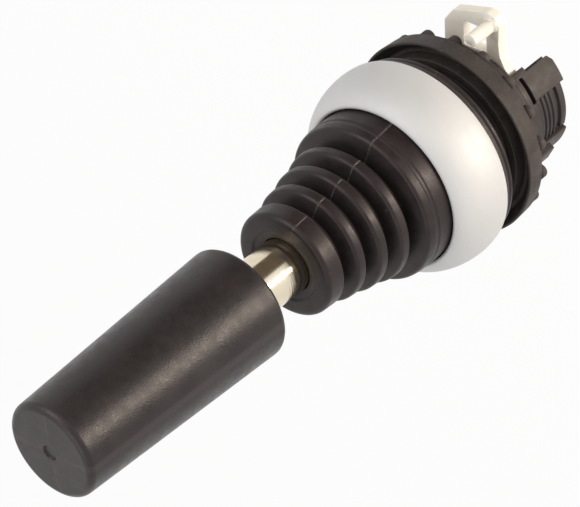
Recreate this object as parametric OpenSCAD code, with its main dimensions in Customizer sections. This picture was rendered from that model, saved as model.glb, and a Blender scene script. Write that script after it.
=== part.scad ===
// Panel-mount joystick operator with a gimbal, a rubber boot and four spring-loaded plungers.
// The lever axis is +Z, the panel's front face is z = 0, and all lengths are in millimetres.

/* [Handle] */
// Radius of the handle where it faces the boot
grip_rear_r = 8.1; // [6.5:0.05:9]
// Radius of the handle at its free end
grip_end_r = 6.85; // [5.5:0.05:7.5]
// Length of the handle
grip_len = 35; // [28:0.5:45]
// Rounding of the handle's two rims
grip_round = 1; // [0.3:0.1:1.5]
// Depth of the shallow moulding dimple in the free end
grip_dimple = 0.25; // [0.1:0.05:0.5]
// Length of the threaded insert
insert_len = 15; // [8:0.5:20]
// Radius of the threaded insert
insert_r = 4; // [3.3:0.1:5]

/* [Lever] */
// Height of the handle's rear rim above the panel
grip_z = 39.1; // [36:0.1:45]
// Radius of the plated sleeve between boot and handle
sleeve_r = 3.9; // [3.3:0.1:4.4]
// Length of sleeve below the handle's rim
sleeve_len = 17; // [15:0.5:19]
// Radius of the lever rod inside the boot
rod_r = 3; // [2.7:0.05:3.2]
// Radius of the rod's threaded end
rod_thread_r = 2.45; // [2:0.05:2.5]
// Height of the pivot above the panel
pivot_z = 3.2; // [3:0.1:3.4]
// Largest tilt of the lever each way, in degrees
tilt_max = 14; // [8:1:14]
// Radius of the cross shafts
shaft_r = 0.9; // [0.7:0.05:1]

/* [Gimbal] */
// Outer radius of the gimbal ring
ring_r = 8.6; // [8:0.05:8.6]
// Inner radius of the gimbal ring
ring_bore_r = 6; // [5.8:0.1:6.4]
// Height of the gimbal ring
ring_h = 3.2; // [2.6:0.1:3.4]
// Largest radius of the lever's hub
hub_r = 5.1; // [4.6:0.1:5.3]
// Height of the lever's hub
hub_h = 5.2; // [4:0.1:5.4]

/* [Boot] */
// Number of folds above the boot's shoulder
boot_folds = 4; // [3:1:4]
// Radius of the shoulder that rises out of the bezel
boot_shoulder_r = 11.75; // [11:0.05:11.8]
// Height of the shoulder's lower edge above the panel
boot_shoulder_z = 13.3; // [13:0.05:13.6]
// Crest radius of the lowest fold
boot_base_r = 10.1; // [9.2:0.05:10.4]
// Crest radius of the head, the highest fold
boot_top_r = 7.8; // [7:0.05:8.5]
// Distance from one fold to the next
boot_pitch = 3.53; // [3.3:0.01:3.6]
// Length of the land on each crest
boot_land = 1.45; // [1:0.05:1.8]
// Length of the head
boot_head_len = 3; // [2.4:0.1:3.4]
// Depth of the valley between two folds
boot_valley = 1.8; // [1:0.1:2]
// Wall of the boot, measured across its axis
boot_wall = 0.9; // [0.6:0.05:1]

/* [Bezel] */
// Wall of the bezel at its widest point
bezel_wall = 2.35; // [2.1:0.05:2.9]
// How far the bezel tucks in towards the flange
bezel_tuck = 0.45; // [0.2:0.05:0.7]
// Height of the bezel's widest point above the panel
bezel_bulge_z = 4.2; // [3:0.1:5]
// Height of the bezel's crest above the panel
bezel_crest_z = 10.4; // [10.2:0.1:11]
// Width of the rounded lip around the opening
bezel_lip_w = 0.4; // [0.3:0.05:0.5]
// Radius of the opening that the boot comes through
bezel_open_r = 11.9; // [11.8:0.05:12]
// Height of the lip's underside above the panel
lip_z = 9.4; // [9.2:0.05:9.6]

/* [Housing] */
// Radius of the threaded barrel that passes through the panel
barrel_r = 11; // [10.8:0.05:11.1]
// Depth of the barrel's threaded length behind the panel
barrel_len = 9.8; // [9:0.1:10.4]
// Radius of the flange under the bezel
flange_r = 14.2; // [13.8:0.1:14.4]
// Thickness of the flange's outer edge
flange_t = 0.75; // [0.5:0.05:0.9]
// Radius of the neck inside the bezel
neck_r = 12; // [11.7:0.05:12.2]
// Inner radius of the neck around the gimbal
neck_bore_r = 9.6; // [9.4:0.05:9.8]
// Height of the neck above the panel
neck_z = 7.4; // [7.2:0.05:7.6]
// Inner radius of the barrel below the gimbal
barrel_bore_r = 9; // [8.8:0.05:9.1]
// Outer radius of the skirt behind the thread
skirt_r = 10.1; // [9.9:0.05:10.4]
// Inner radius of the skirt
skirt_bore_r = 9.3; // [9.2:0.05:9.5]
// Depth of the skirt's rear edge behind the panel
skirt_len = 17.6; // [17:0.1:18]
// Length of the tongue's tip beyond the skirt's rear edge
tongue_tip = 0.55; // [0.3:0.05:0.8]
// Width of the key that stops the operator turning in the panel
key_w = 2.6; // [2:0.1:3]
// Reach of the key from the axis
key_reach = 12.5; // [11.8:0.1:12.8]

/* [Gasket] */
// Thickness of the panel gasket
gasket_t = 1; // [0.6:0.05:1.4]
// Outer radius of the panel gasket
gasket_r = 14; // [13.4:0.1:14.2]

/* [Gate] */
// Thickness of the gate plate
gate_t = 1; // [0.8:0.05:1.2]
// Radius of the gate plate
gate_r = 12.5; // [12.3:0.05:12.6]
// Corner radius of the gate opening
gate_corner_r = 1.5; // [0.5:0.1:2.5]

/* [Ring nut] */
// Depth of the nut's front face behind the panel
nut_z = 2.9; // [2.8:0.1:3.2]
// Length of the nut's plain rim
nut_rim = 2.85; // [2:0.05:3]
// Length of the nut's nubbed tail
nut_tail = 1.5; // [1.2:0.05:1.6]
// Radius of the nut at its front edge
nut_r = 14.7; // [14:0.1:15.5]
// Radius of the tail between the nubs
nut_tail_r = 13.4; // [13.1:0.1:13.8]
// Number of nubs
nub_count = 18; // [12:1:20]
// Radius of one nub
nub_r = 0.95; // [0.8:0.05:1.1]
// Depth of the groove in the nut's front face
nut_recess = 1.8; // [1:0.1:2.2]

/* [Plungers] */
// Radius of the circle that the plungers stand on
plunger_pcr = 4.8; // [4.7:0.05:5]
// Radius of a plunger's stem
stem_r = 1.1; // [0.9:0.05:1.2]
// Radius of a plunger's domed head
head_r = 1.5; // [1.3:0.05:1.6]
// Radius of the collar that the spring pushes on
collar_r = 2.1; // [1.9:0.05:2.15]
// Thickness of that collar
collar_t = 0.7; // [0.5:0.05:1]
// Free play between a plunger and the actuator plate
plunger_play = 0.55; // [0.5:0.05:0.7]
// Length of stem that stands out of the guide
stem_proud = 1.3; // [0.8:0.1:1.6]
// Coils of a return spring
spring_turns = 5; // [4:1:6]
// Wire radius of a return spring
spring_wire_r = 0.2; // [0.15:0.01:0.22]

/* [Actuator] */
// Radius of the plate at the lever's foot
plate_r = 7; // [6.8:0.05:7.1]
// Thickness of that plate
plate_t = 1.8; // [1.6:0.05:2]
// Depth of the plate's upper face below the panel
plate_z = 0.9; // [0.8:0.05:1]

/* [Plunger guide] */
// Depth of the guide's upper face behind the panel
guide_z = 4.6; // [4.5:0.05:4.8]
// Depth of the guide's rear rim behind the panel
guide_len = 18; // [17.7:0.1:18.4]
// Radius of the pad that fills the skirt's gap
pad_r = 9.7; // [9.5:0.05:9.9]
// Depth of the spring pockets' floor behind the panel
pocket_floor = 11.6; // [11.3:0.1:11.8]

/* [Locking ring] */
// Depth of the locking ring's front face behind the panel
latch_z = 11; // [10.8:0.05:11.2]
// Thickness of the locking ring
latch_t = 1.6; // [1.3:0.05:1.6]
// Inner radius of the locking ring
latch_bore_r = 8; // [7.9:0.05:8.1]
// Reach of the thumb tab from the axis
tab_reach = 16.6; // [15.5:0.1:18]
// Swing of the locking ring, in degrees
latch_swing = 30; // [15:1:30]
// Radius of the peg behind the nut
peg_r = 0.95; // [0.8:0.05:1.1]
// Depth of the peg's nose behind the panel
peg_z = 6.5; // [6.2:0.1:6.8]

/* [Hidden] */
$fn = 72;

screw_r = 1.25;          // screw that holds the actuator plate
screw_grip = 2.4;        // its length in the rod, short of the cross shaft
screw_head_r = 2.5;
screw_head_h = 1;
seat = 0.03;             // clearance of pieces that are pressed or glued together
run = 0.05;              // radial clearance of a running fit
air = 0.3;               // gap between neighbours that move
land_z = gasket_t + flange_t + 0.25;  // upper face of the flange's inner land
sleeve_seat = 1.2;       // how far the sleeve enters the handle
insert_z = grip_z + sleeve_seat;
dimple_ball = 1.35;
gate_z = neck_z;
boot_flange_z = gate_z + gate_t;
nut_back = nut_z + nut_rim + nut_tail;
plate_low = plate_z + plate_t;
plunger_top = plate_low + plunger_play;
collar_top = plunger_top + head_r;
collar_low = collar_top + collar_t;

pocket_r = collar_r + 0.2;
bead_z = 8.4;            // depth of the bead that snaps the guide into the housing
bead_h = 0.25;
guide_rim_r = 8.9;       // radius of the guide's rear rim
latch_r = skirt_bore_r - 0.15;
latch_floor_r = latch_bore_r - run;
shell_in_r = latch_floor_r - 0.45;
guide_r = skirt_bore_r - run;
gate_half = rod_r / cos(tilt_max) + (boot_flange_z - pivot_z) * tan(tilt_max) + 0.16;
play = 0.1;              // axial play of the locking ring in its groove
core_z = latch_z + latch_t + play;    // rear face of the guide's core
tongue_low = skirt_len + tongue_tip;
stem_tip = core_z + stem_proud;
nub_pitch_r = nut_tail_r + 0.05;

// Angles around the axis, counted from +X towards +Y
tongue_from = -112.5;    // free edge of the snap tongue
tongue_to = -89;         // edge where the tongue meets its root
root_to = -84.4;         // far edge of the tongue's root
wall_from = 22;          // first edge of the long skirt wall
wall_to = 205;           // last edge of the long skirt wall
gap_top = 11.9;          // depth behind the panel where the pad's sector opens
slot_w = 0.6;            // width of the slot above the tongue
root_len = 13.2;         // depth where the tongue's root ends
rib_angle = 193;         // direction of the rib on the long skirt wall
rib_w = 2.6;
rib_len = 4.4;
shell_from = 24;         // first edge of the guide's rear shell
shell_to = 273;          // its other edge, under the tongue's root
tab_angle = -50;         // direction of the thumb tab
latch_from = -84;        // one end of the C-shaped ring
latch_to = 168;          // its other end

EAST = 0;
WEST = 180;
NORTH = 90;
SOUTH = 270;

// Quarter arc from angle a to angle b, as outline points
function arc(cx, cy, r, a, b, steps = 8) =
    [for (i = [0:steps]) let (t = a + (b - a) * i / steps) [cx + r * cos(t), cy + r * sin(t)]];

// A turned ring between two radii and two heights
module tube(r_out, r_in, z_from, z_to) {
    translate([0, 0, z_from])
        difference() {
            cylinder(r = r_out, h = z_to - z_from);
            translate([0, 0, -1]) cylinder(r = r_in, h = z_to - z_from + 2);
        }
}

// A sector of a cylinder, from one angle to another, used as a cutter
module wedge(r, from, to, z_from, z_to) {
    steps = max(2, ceil((to - from) / 30));
    translate([0, 0, z_from])
        linear_extrude(height = z_to - z_from)
            polygon(concat([[0, 0]],
                [for (i = [0:steps]) let (t = from + (to - from) * i / steps)
                    [1.2 * r * cos(t), 1.2 * r * sin(t)]]));
}

// ---- Handle -------------------------------------------------------------

module grip_shape() {
    end_z = grip_z + grip_len;
    slope = atan((grip_rear_r - grip_end_r) / grip_len);
    rotate_extrude()
        polygon(concat([[0, grip_z]],
            arc(grip_rear_r - grip_round, grip_z + grip_round, grip_round, -90, slope),
            arc(grip_end_r - grip_round, end_z - grip_round, grip_round, slope, 90),
            [[0, end_z]]));
}

module grip() {
    color("#2b2829")
        difference() {
            grip_shape();
            translate([0, 0, grip_z - 1])
                cylinder(r = insert_r + seat, h = 1 + sleeve_seat + insert_len + seat);
            translate([0, 0, grip_z + grip_len + dimple_ball])
                sphere(r = dimple_ball + grip_dimple);
        }
}
// Threaded insert with a waist that keeps it in the handle
module grip_insert() {
    waist = 0.35;
    bore_r = rod_thread_r + run;
    color("#b8964e")
        rotate_extrude()
            polygon([
                [bore_r, insert_z],
                [insert_r, insert_z],
                [insert_r, insert_z + insert_len * 0.3],
                [insert_r - waist, insert_z + insert_len * 0.35],
                [insert_r - waist, insert_z + insert_len * 0.65],
                [insert_r, insert_z + insert_len * 0.7],
                [insert_r, insert_z + insert_len],
                [bore_r, insert_z + insert_len]]);
}

// ---- Lever --------------------------------------------------------------

module lever_rod() {
    shoulder_z = grip_z - sleeve_len;
    foot_z = -plate_z;
    screw_bore = screw_grip + 0.4;
    color("#a9a6a0")
        difference() {
            union() {
                translate([0, 0, foot_z]) cylinder(r = rod_r, h = shoulder_z - foot_z);
                translate([0, 0, shoulder_z])
                    cylinder(r = rod_thread_r, h = insert_z + insert_len - 1 - shoulder_z);
            }
            translate([0, 0, foot_z - 1])
                cylinder(r = screw_r + seat, h = 1 + screw_bore, $fn = 32);
            cross_bore(shaft_r + seat, rod_r + 1);
        }
}

module cross_bore(r, reach) {
    translate([0, 0, pivot_z])
        rotate([90, 0, 0])
            cylinder(r = r, h = 2 * reach, center = true, $fn = 32);
}

module lever_sleeve() {
    sleeve_z = grip_z - sleeve_len;
    color("#cdbf9f")
        tube(sleeve_r, rod_thread_r + run, sleeve_z, insert_z);
}

// The hub is barrel shaped so that it clears the gimbal ring as it tilts
module pivot_hub() {
    color("#6d6a68")
        difference() {
            intersection() {
                translate([0, 0, pivot_z]) sphere(r = hub_r + 0.45);
                translate([0, 0, pivot_z - hub_h / 2]) cylinder(r = hub_r, h = hub_h);
            }
            translate([0, 0, pivot_z - hub_h]) cylinder(r = rod_r + seat, h = 2 * hub_h);
            cross_bore(shaft_r + seat, hub_r + 1);
        }
}

module cross_shaft() {
    color("#c9c9cb")
        translate([0, 0, pivot_z])
            rotate([90, 0, 0])
                cylinder(r = shaft_r, h = 2 * (ring_r - air), center = true, $fn = 32);
}

module actuator_plate() {
    color("#4a4748")
        difference() {
            translate([0, 0, -plate_low]) cylinder(r = plate_r, h = plate_t);
            translate([0, 0, -plate_low - 1])
                cylinder(r = screw_r + 0.1, h = plate_t + 2, $fn = 32);
            translate([0, 0, -plate_low - 1])
                cylinder(r = screw_head_r + 0.2, h = 1 + screw_head_h, $fn = 48);
        }
}

module plate_screw() {
    slot_w = 0.6;
    color("#b9b9bc")
        difference() {
            union() {
                translate([0, 0, -plate_low]) cylinder(r = screw_head_r, h = screw_head_h, $fn = 48);
                translate([0, 0, -plate_low])
                    cylinder(r = screw_r, h = plate_t + screw_grip, $fn = 32);
            }
            translate([-screw_head_r - 1, -slot_w / 2, -plate_low - 1])
                cube([2 * screw_head_r + 2, slot_w, 1.5]);
        }
}

// ---- Gimbal -------------------------------------------------------------

module gimbal_ring() {
    color("#8e8b88")
        difference() {
            tube(ring_r, ring_bore_r, pivot_z - ring_h / 2, pivot_z + ring_h / 2);
            cross_bore(shaft_r + run, ring_r + 1);
            rotate([0, 0, 90]) cross_bore(shaft_r + run, ring_r + 1);
        }
}

module gimbal_pins() {
    pin_from = ring_bore_r + air;
    pin_to = neck_r - 0.1;
    color("#c9c9cb")
        for (side = [EAST, WEST])
            rotate([0, 0, side])
                translate([pin_from, 0, pivot_z])
                    rotate([0, 90, 0])
                        cylinder(r = shaft_r, h = pin_to - pin_from, $fn = 32);
}

// ---- Housing ------------------------------------------------------------

module housing_body() {
    ledge_z = 1.5;
    rotate_extrude()
        polygon([
            [neck_bore_r, neck_z],
            [neck_r - 0.3, neck_z],
            [neck_r, neck_z - 0.3],
            [neck_r, land_z],
            [flange_r - 0.8, land_z],
            [flange_r - 0.8, gasket_t + flange_t],
            [flange_r, gasket_t + flange_t],
            [flange_r, gasket_t],
            [barrel_r, gasket_t],
            [barrel_r, -barrel_len + 0.5],
            [barrel_r - 0.5, -barrel_len],
            [skirt_r, -barrel_len],
            [skirt_r, -tongue_low + 0.3],
            [skirt_r - 0.3, -tongue_low],
            [skirt_bore_r, -tongue_low],
            [skirt_bore_r, -bead_z - bead_h],
            [skirt_bore_r + bead_h, -bead_z],
            [skirt_bore_r, -bead_z + bead_h],
            [skirt_bore_r, -guide_z],
            [barrel_bore_r, -guide_z],
            [barrel_bore_r, ledge_z],
            [neck_bore_r, ledge_z],
        ]);
}

module housing() {
    deep = tongue_low + 1;
    color("#262324")
        difference() {
            union() {
                housing_body();
                translate([-key_w / 2, barrel_r - 0.5, -nut_z + 0.5])
                    cube([key_w, key_reach - barrel_r + 0.5, nut_z - 0.5 + gasket_t]);
                skirt_rib();
            }
            // open sector where the thumb tab swings
            wedge(skirt_r + 2, root_to, wall_from, -deep, -latch_z + 0.4);
            // open sector that shows the guide's pad
            wedge(skirt_r + 2, wall_to - 360, tongue_from, -deep, -gap_top);
            // the tongue's root stops short of its tip
            wedge(skirt_r + 2, tongue_to, root_to + 1, -deep, -root_len);
            // the tongue's tip reaches past the rest of the skirt
            wedge(skirt_r + 2, wall_from - 5, wall_to + 5, -deep, -skirt_len);
            tongue_corner();
            // slot that frees the tongue
            wedge(skirt_r + 2, tongue_from - 1, tongue_to - 1.5, -gap_top, -gap_top + slot_w);
            // the inside of the barrel stays clear of the rib and the key
            translate([0, 0, -deep]) cylinder(r = barrel_bore_r, h = deep + neck_z + 1);
            rotate([0, 0, 90]) cross_bore(shaft_r + seat, neck_r + 3);
        }
}

// Slanting cutter that takes one corner off the tongue's tip
module tongue_corner() {
    edge = skirt_r * cos(tongue_to);
    rotate([90, 0, 0])
        linear_extrude(height = skirt_r + 1)
            polygon([
                [edge - 1.8, -tongue_low - 0.5],
                [edge + 0.9, 1 - tongue_low],
                [edge + 2, -tongue_low - 1]]);
}

// Stiffening rib on the long skirt wall
module skirt_rib() {
    rib_root = (skirt_r + skirt_bore_r) / 2;
    rotate([0, 0, rib_angle])
        translate([rib_root, -rib_w / 2, -barrel_len - rib_len])
            cube([barrel_r - 0.1 - rib_root, rib_w, rib_len + 0.2]);
}

module bezel() {
    bore_r = neck_r + seat;
    cavity_r = gate_r + 0.15;
    bulge_r = cavity_r + bezel_wall;
    crest_r = bezel_open_r + bezel_lip_w;
    steps = 18;
    dome = [for (i = [0:steps]) let (t = 90 * i / steps) [
        crest_r + (bulge_r - crest_r) * pow(cos(t), 1.3),
        bezel_bulge_z + (bezel_crest_z - bezel_bulge_z) * sin(t)]];
    flare = [for (i = [0:5]) let (t = 90 * i / 6) [
        bulge_r - bezel_tuck * (1 - sin(t)),
        land_z + (bezel_bulge_z - land_z) * (1 - cos(t))]];
    lip = arc(crest_r, bezel_crest_z - bezel_lip_w, bezel_lip_w, 90, 180, 5);
    color("#c9c8c6")
        rotate_extrude()
            polygon(concat(
                [[bore_r, land_z]],
                flare,
                dome,
                [for (i = [1:len(lip) - 1]) lip[i]],
                [[bezel_open_r, lip_z],
                 [cavity_r, lip_z],
                 [cavity_r, neck_z - 0.1],
                 [bore_r, neck_z - 0.1]]));
}

// ---- Boot ---------------------------------------------------------------

// Fold 0 is the shoulder, and the last fold is the head that grips the sleeve
function crest_z(i) = boot_shoulder_z + boot_pitch * i;
function crest_r(i) = i == 0 ? boot_shoulder_r :
    boot_base_r - (boot_base_r - boot_top_r) * (i - 1) / (boot_folds - 1);
function crest_len(i) = i == boot_folds ? boot_head_len : boot_land;

// One fold's outline, from its lower flank over its land to its upper flank
function fold(i, in) = let (z = crest_z(i), r = crest_r(i) - in, top = z + crest_len(i)) [
    [r - 0.3, z - 0.25],
    [r, z + 0.05],
    [r, top - 0.3],
    [r - 0.3, top]];

// The valley above fold i
function valley(i, in) = let (r = crest_r(i + 1) - boot_valley - in,
    mid = (crest_z(i) + boot_land + crest_z(i + 1)) / 2) [
    [r, mid - 0.3],
    [r, mid + 0.15]];

function bellows(in, last) = [for (i = [0:last])
    for (p = concat(fold(i, in), i < boot_folds ? valley(i, in) : [])) p];

module boot() {
    neck_out = bezel_open_r - 0.15;
    neck_in = neck_out - boot_wall - 0.4;
    hole_r = sleeve_r + run;
    lip_r = hole_r + 1;
    face_z = crest_z(boot_folds) + boot_head_len;
    roof_z = face_z - boot_wall - 0.6;
    inner = bellows(boot_wall, boot_folds - 1);
    color("#3a3537")
        rotate_extrude()
            polygon(concat(
                [[gate_r, boot_flange_z],
                 [gate_r, lip_z - seat],
                 [neck_out, lip_z - seat],
                 [neck_out, boot_shoulder_z - 0.9],
                 [boot_shoulder_r - 0.3, boot_shoulder_z - 0.7],
                 [boot_shoulder_r - 0.3, boot_shoulder_z - 0.3]],
                bellows(0, boot_folds),
                [[lip_r + 0.3, face_z],
                 [lip_r, face_z + 0.3],
                 [hole_r + 0.2, face_z + 0.3],
                 [hole_r, face_z + 0.1],
                 [hole_r, roof_z],
                 [boot_top_r - boot_valley - boot_wall, roof_z]],
                [for (i = [len(inner) - 1:-1:0]) inner[i]],
                [[neck_in, boot_shoulder_z - 1.3],
                 [neck_in, boot_flange_z]]));
}

module gate_plate() {
    side = 2 * gate_half;
    corner = gate_half - gate_corner_r;
    color("#9b9a98")
        difference() {
            translate([0, 0, gate_z]) cylinder(r = gate_r, h = gate_t);
            translate([-gate_half, -corner, gate_z - 1]) cube([side, 2 * corner, gate_t + 2]);
            translate([-corner, -gate_half, gate_z - 1]) cube([2 * corner, side, gate_t + 2]);
            for (x = [-corner, corner])
                for (y = [-corner, corner])
                    translate([x, y, gate_z - 1])
                        cylinder(r = gate_corner_r, h = gate_t + 2, $fn = 32);
        }
}

module panel_gasket() {
    notch_w = key_w + 0.3;
    color("#1d1b1c")
        difference() {
            rotate_extrude()
                polygon([
                    [barrel_r + run, 0],
                    [gasket_r, 0],
                    [gasket_r, gasket_t * 0.45],
                    [gasket_r - 0.35, gasket_t],
                    [barrel_r + run, gasket_t]]);
            translate([-notch_w / 2, 0, -1])
                cube([notch_w, key_reach + 0.2, gasket_t + 2]);
        }
}

// ---- Ring nut -----------------------------------------------------------

module ring_nut() {
    tail_z = -nut_z - nut_rim;
    back_z = -nut_back;
    nub_angle = 360 / nub_count;
    color("#4b4542")
        difference() {
            union() {
                rotate_extrude()
                    polygon([
                        [barrel_r - 1, -nut_z],
                        [barrel_r + 1.3, -nut_z],
                        [barrel_r + 1.5, -nut_z - nut_recess],
                        [nut_r - 1.6, -nut_z - nut_recess],
                        [nut_r - 0.35, -nut_z],
                        [nut_r - 0.15, -nut_z],
                        [nut_r, -nut_z - 0.2],
                        [nut_r - 0.2, tail_z],
                        [nut_tail_r, tail_z],
                        [nut_tail_r, back_z + 0.2],
                        [nut_tail_r - 0.2, back_z],
                        [barrel_r - 1, back_z]]);
                for (i = [0:nub_count - 1])
                    rotate([0, 0, 12 + i * nub_angle])
                        translate([nub_pitch_r, 0, back_z])
                            cylinder(r = nub_r, h = nut_tail + 0.3, $fn = 24);
            }
            translate([0, 0, back_z - 1])
                cylinder(r = barrel_r + 0.06, h = nut_back + 2);
        }
}

// ---- Plungers -----------------------------------------------------------

module plunger(angle) {
    rotate([0, 0, angle])
        translate([plunger_pcr, 0, 0])
            union() {
                translate([0, 0, -plunger_top - head_r]) sphere(r = head_r, $fn = 48);
                translate([0, 0, -collar_low]) cylinder(r = collar_r, h = collar_t, $fn = 48);
                translate([0, 0, -stem_tip + 0.3])
                    cylinder(r = stem_r, h = stem_tip - 0.3 - collar_top, $fn = 32);
                translate([0, 0, -stem_tip])
                    cylinder(r1 = stem_r - 0.3, r2 = stem_r, h = 0.3, $fn = 32);
            }
}

module plunger_east() { color("#d8d2c4") plunger(EAST); }
module plunger_west() { color("#d8d2c4") plunger(WEST); }
module plunger_north() { color("#d8d2c4") plunger(NORTH); }
module plunger_south() { color("#d8d2c4") plunger(SOUTH); }

// A wire swept along a helix, closed at both ends
module coil(mean_r, wire_r, length, turns) {
    per_turn = 12;
    sides = 6;
    n = turns * per_turn;
    rise = (length - 2 * wire_r) / n;
    rings = [for (k = [0:n]) let (a = 360 * k / per_turn)
        for (s = [0:sides - 1]) let (b = 360 * s / sides, r = mean_r + wire_r * cos(b))
            [r * cos(a), r * sin(a), wire_r + k * rise + wire_r * sin(b)]];
    skin = [for (k = [0:n - 1]) for (s = [0:sides - 1]) let (
        p = k * sides + s, q = k * sides + (s + 1) % sides)
        [p, p + sides, q + sides, q]];
    ends = [[for (s = [0:sides - 1]) s], [for (s = [sides - 1:-1:0]) n * sides + s]];
    polyhedron(points = rings, faces = concat(skin, ends), convexity = 4);
}

module plunger_spring(angle) {
    mean_r = (stem_r + pocket_r) / 2;
    rotate([0, 0, angle])
        translate([plunger_pcr, 0, -pocket_floor + seat])
            coil(mean_r, spring_wire_r, pocket_floor - collar_low - 2 * seat, spring_turns);
}

module spring_east() { color("#b9b9bc") plunger_spring(EAST); }
module spring_west() { color("#b9b9bc") plunger_spring(WEST); }
module spring_north() { color("#b9b9bc") plunger_spring(NORTH); }
module spring_south() { color("#b9b9bc") plunger_spring(SOUTH); }

// The guide closes the housing from behind and carries plungers, springs and locking ring
module plunger_guide() {
    dish_z = guide_z + 0.4;
    groove_top = latch_z - play;
    color("#2e2b2c")
        difference() {
            union() {
                rotate_extrude()
                    polygon([
                        [0, -dish_z],
                        [plate_r + 1.3, -dish_z],
                        [plate_r + 1.3, -guide_z],
                        [guide_r - 0.15, -guide_z],
                        [guide_r, -guide_z - 0.15],
                        [guide_r, -bead_z + bead_h],
                        [guide_r + bead_h - 0.05, -bead_z],
                        [guide_r, -bead_z - bead_h],
                        [guide_r, -groove_top],
                        [latch_floor_r, -groove_top],
                        [latch_floor_r, -core_z],
                        [0, -core_z]]);
                guide_shell();
                guide_pad();
            }
            for (side = [EAST, NORTH, WEST, SOUTH])
                rotate([0, 0, side])
                    translate([plunger_pcr, 0, 0]) {
                        translate([0, 0, -pocket_floor])
                            cylinder(r = pocket_r, h = pocket_floor, $fn = 48);
                        translate([0, 0, -core_z - 1])
                            cylinder(r = stem_r + run, h = core_z, $fn = 32);
                    }
        }
}

// Rear shell that carries the skirt; it is open behind the locking ring's tab
module guide_shell() {
    intersection() {
        rotate_extrude()
            polygon([
                [shell_in_r, -core_z + 0.5],
                [latch_floor_r, -core_z + 0.5],
                [latch_floor_r, -core_z],
                [guide_r, -core_z],
                [guide_r, -guide_len + 1.8],
                [guide_rim_r, -guide_len],
                [shell_in_r, -guide_len]]);
        wedge(guide_r + 2, shell_from, shell_to, -guide_len - 1, 0);
    }
}

// Ribbed pad that keys the guide into the skirt's open sector
module guide_pad() {
    pad_top = gap_top + air;
    rib_d = 0.25;
    pitch = 0.85;
    intersection() {
        rotate_extrude()
            polygon(concat(
                [[shell_in_r, -pad_top], [pad_r, -pad_top]],
                [for (i = [0:2]) let (z = -pad_top - 0.6 - pitch * i)
                    for (p = [[pad_r, z], [pad_r - rib_d, z - 0.1],
                        [pad_r - rib_d, z - 0.35], [pad_r, z - 0.45]]) p],
                [[pad_r, -guide_len + 2.7],
                 [guide_rim_r, -guide_len + 2.5],
                 [guide_rim_r, -guide_len + 1.6],
                 [pad_r - 0.1, -guide_len + 1.4],
                 [pad_r - 0.1, -guide_len + 0.4],
                 [pad_r - 0.5, -guide_len],
                 [shell_in_r, -guide_len]]));
        wedge(pad_r + 2, wall_to - 360 + 1, tongue_from - 1, -guide_len - 1, -pad_top + 1);
    }
}

// ---- Locking ring -------------------------------------------------------

// Plan view of the locking ring, with its thumb tab along +X
module latch_outline() {
    root_x = 6.5;
    side_y = 5.6;
    window_x = latch_r + 0.85;
    gap = 360 - (latch_to - latch_from);
    difference() {
        union() {
            circle(r = latch_r);
            polygon([
                [root_x, -6.3],
                [root_x, side_y],
                [tab_reach - 3.8, side_y],
                [tab_reach - 1.7, 4.1],
                [tab_reach, -1.6],
                [tab_reach - 0.3, -2.8],
                [tab_reach - 1.4, -3.6],
                [12, -3.45],
                [10.2, -3.6],
                [8.6, -4.4],
                [7.2, -5.6]]);
        }
        circle(r = latch_bore_r);
        polygon(concat([[0, 0]],
            [for (i = [0:4]) let (t = latch_to - tab_angle + gap * i / 4)
                [2 * latch_r * cos(t), 2 * latch_r * sin(t)]]));
        translate([window_x, -1.45]) square([tab_reach - 2.7 - window_x, 3.85]);
    }
}

module locking_ring() {
    low = -latch_z - latch_t;
    mid = low + latch_t / 2;
    color("#e9e4da")
        difference() {
            rotate([0, 0, tab_angle]) {
                translate([0, 0, low]) linear_extrude(height = latch_t) latch_outline();
                translate([tab_reach - 1.65, -2.25, mid])
                    cylinder(r = peg_r, h = -peg_z - mid, $fn = 32);
            }
            // the nose is cut away so that the nut's nubs turn past under it
            translate([0, 0, -nut_back - 0.2])
                cylinder(r = nub_pitch_r + nub_r + 0.1, h = nut_back);
        }
}

grip();
grip_insert();
lever_rod();
lever_sleeve();
pivot_hub();
cross_shaft();
actuator_plate();
plate_screw();
gimbal_ring();
gimbal_pins();
housing();
bezel();
boot();
gate_plate();
panel_gasket();
ring_nut();
plunger_guide();
locking_ring();
plunger_east();
plunger_west();
plunger_north();
plunger_south();
spring_east();
spring_west();
spring_north();
spring_south();
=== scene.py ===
import bpy, bmesh
from math import cos, sin, pi, radians, tan
from mathutils import Vector, Matrix


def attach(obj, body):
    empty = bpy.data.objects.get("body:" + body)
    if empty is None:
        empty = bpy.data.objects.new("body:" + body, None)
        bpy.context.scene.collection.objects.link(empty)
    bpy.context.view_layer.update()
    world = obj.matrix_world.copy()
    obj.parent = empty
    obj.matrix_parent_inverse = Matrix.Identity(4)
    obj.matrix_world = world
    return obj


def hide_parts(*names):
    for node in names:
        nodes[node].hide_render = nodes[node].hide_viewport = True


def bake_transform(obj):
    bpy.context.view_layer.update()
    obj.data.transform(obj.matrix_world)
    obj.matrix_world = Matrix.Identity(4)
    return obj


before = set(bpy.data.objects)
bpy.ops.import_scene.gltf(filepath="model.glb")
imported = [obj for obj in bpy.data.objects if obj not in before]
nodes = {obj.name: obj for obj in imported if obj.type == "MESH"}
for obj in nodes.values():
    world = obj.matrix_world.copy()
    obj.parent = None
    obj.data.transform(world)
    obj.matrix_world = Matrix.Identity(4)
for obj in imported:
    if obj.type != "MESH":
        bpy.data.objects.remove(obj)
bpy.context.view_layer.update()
mm = 0.001
print("frame loaded:", len(nodes), "nodes")

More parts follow.
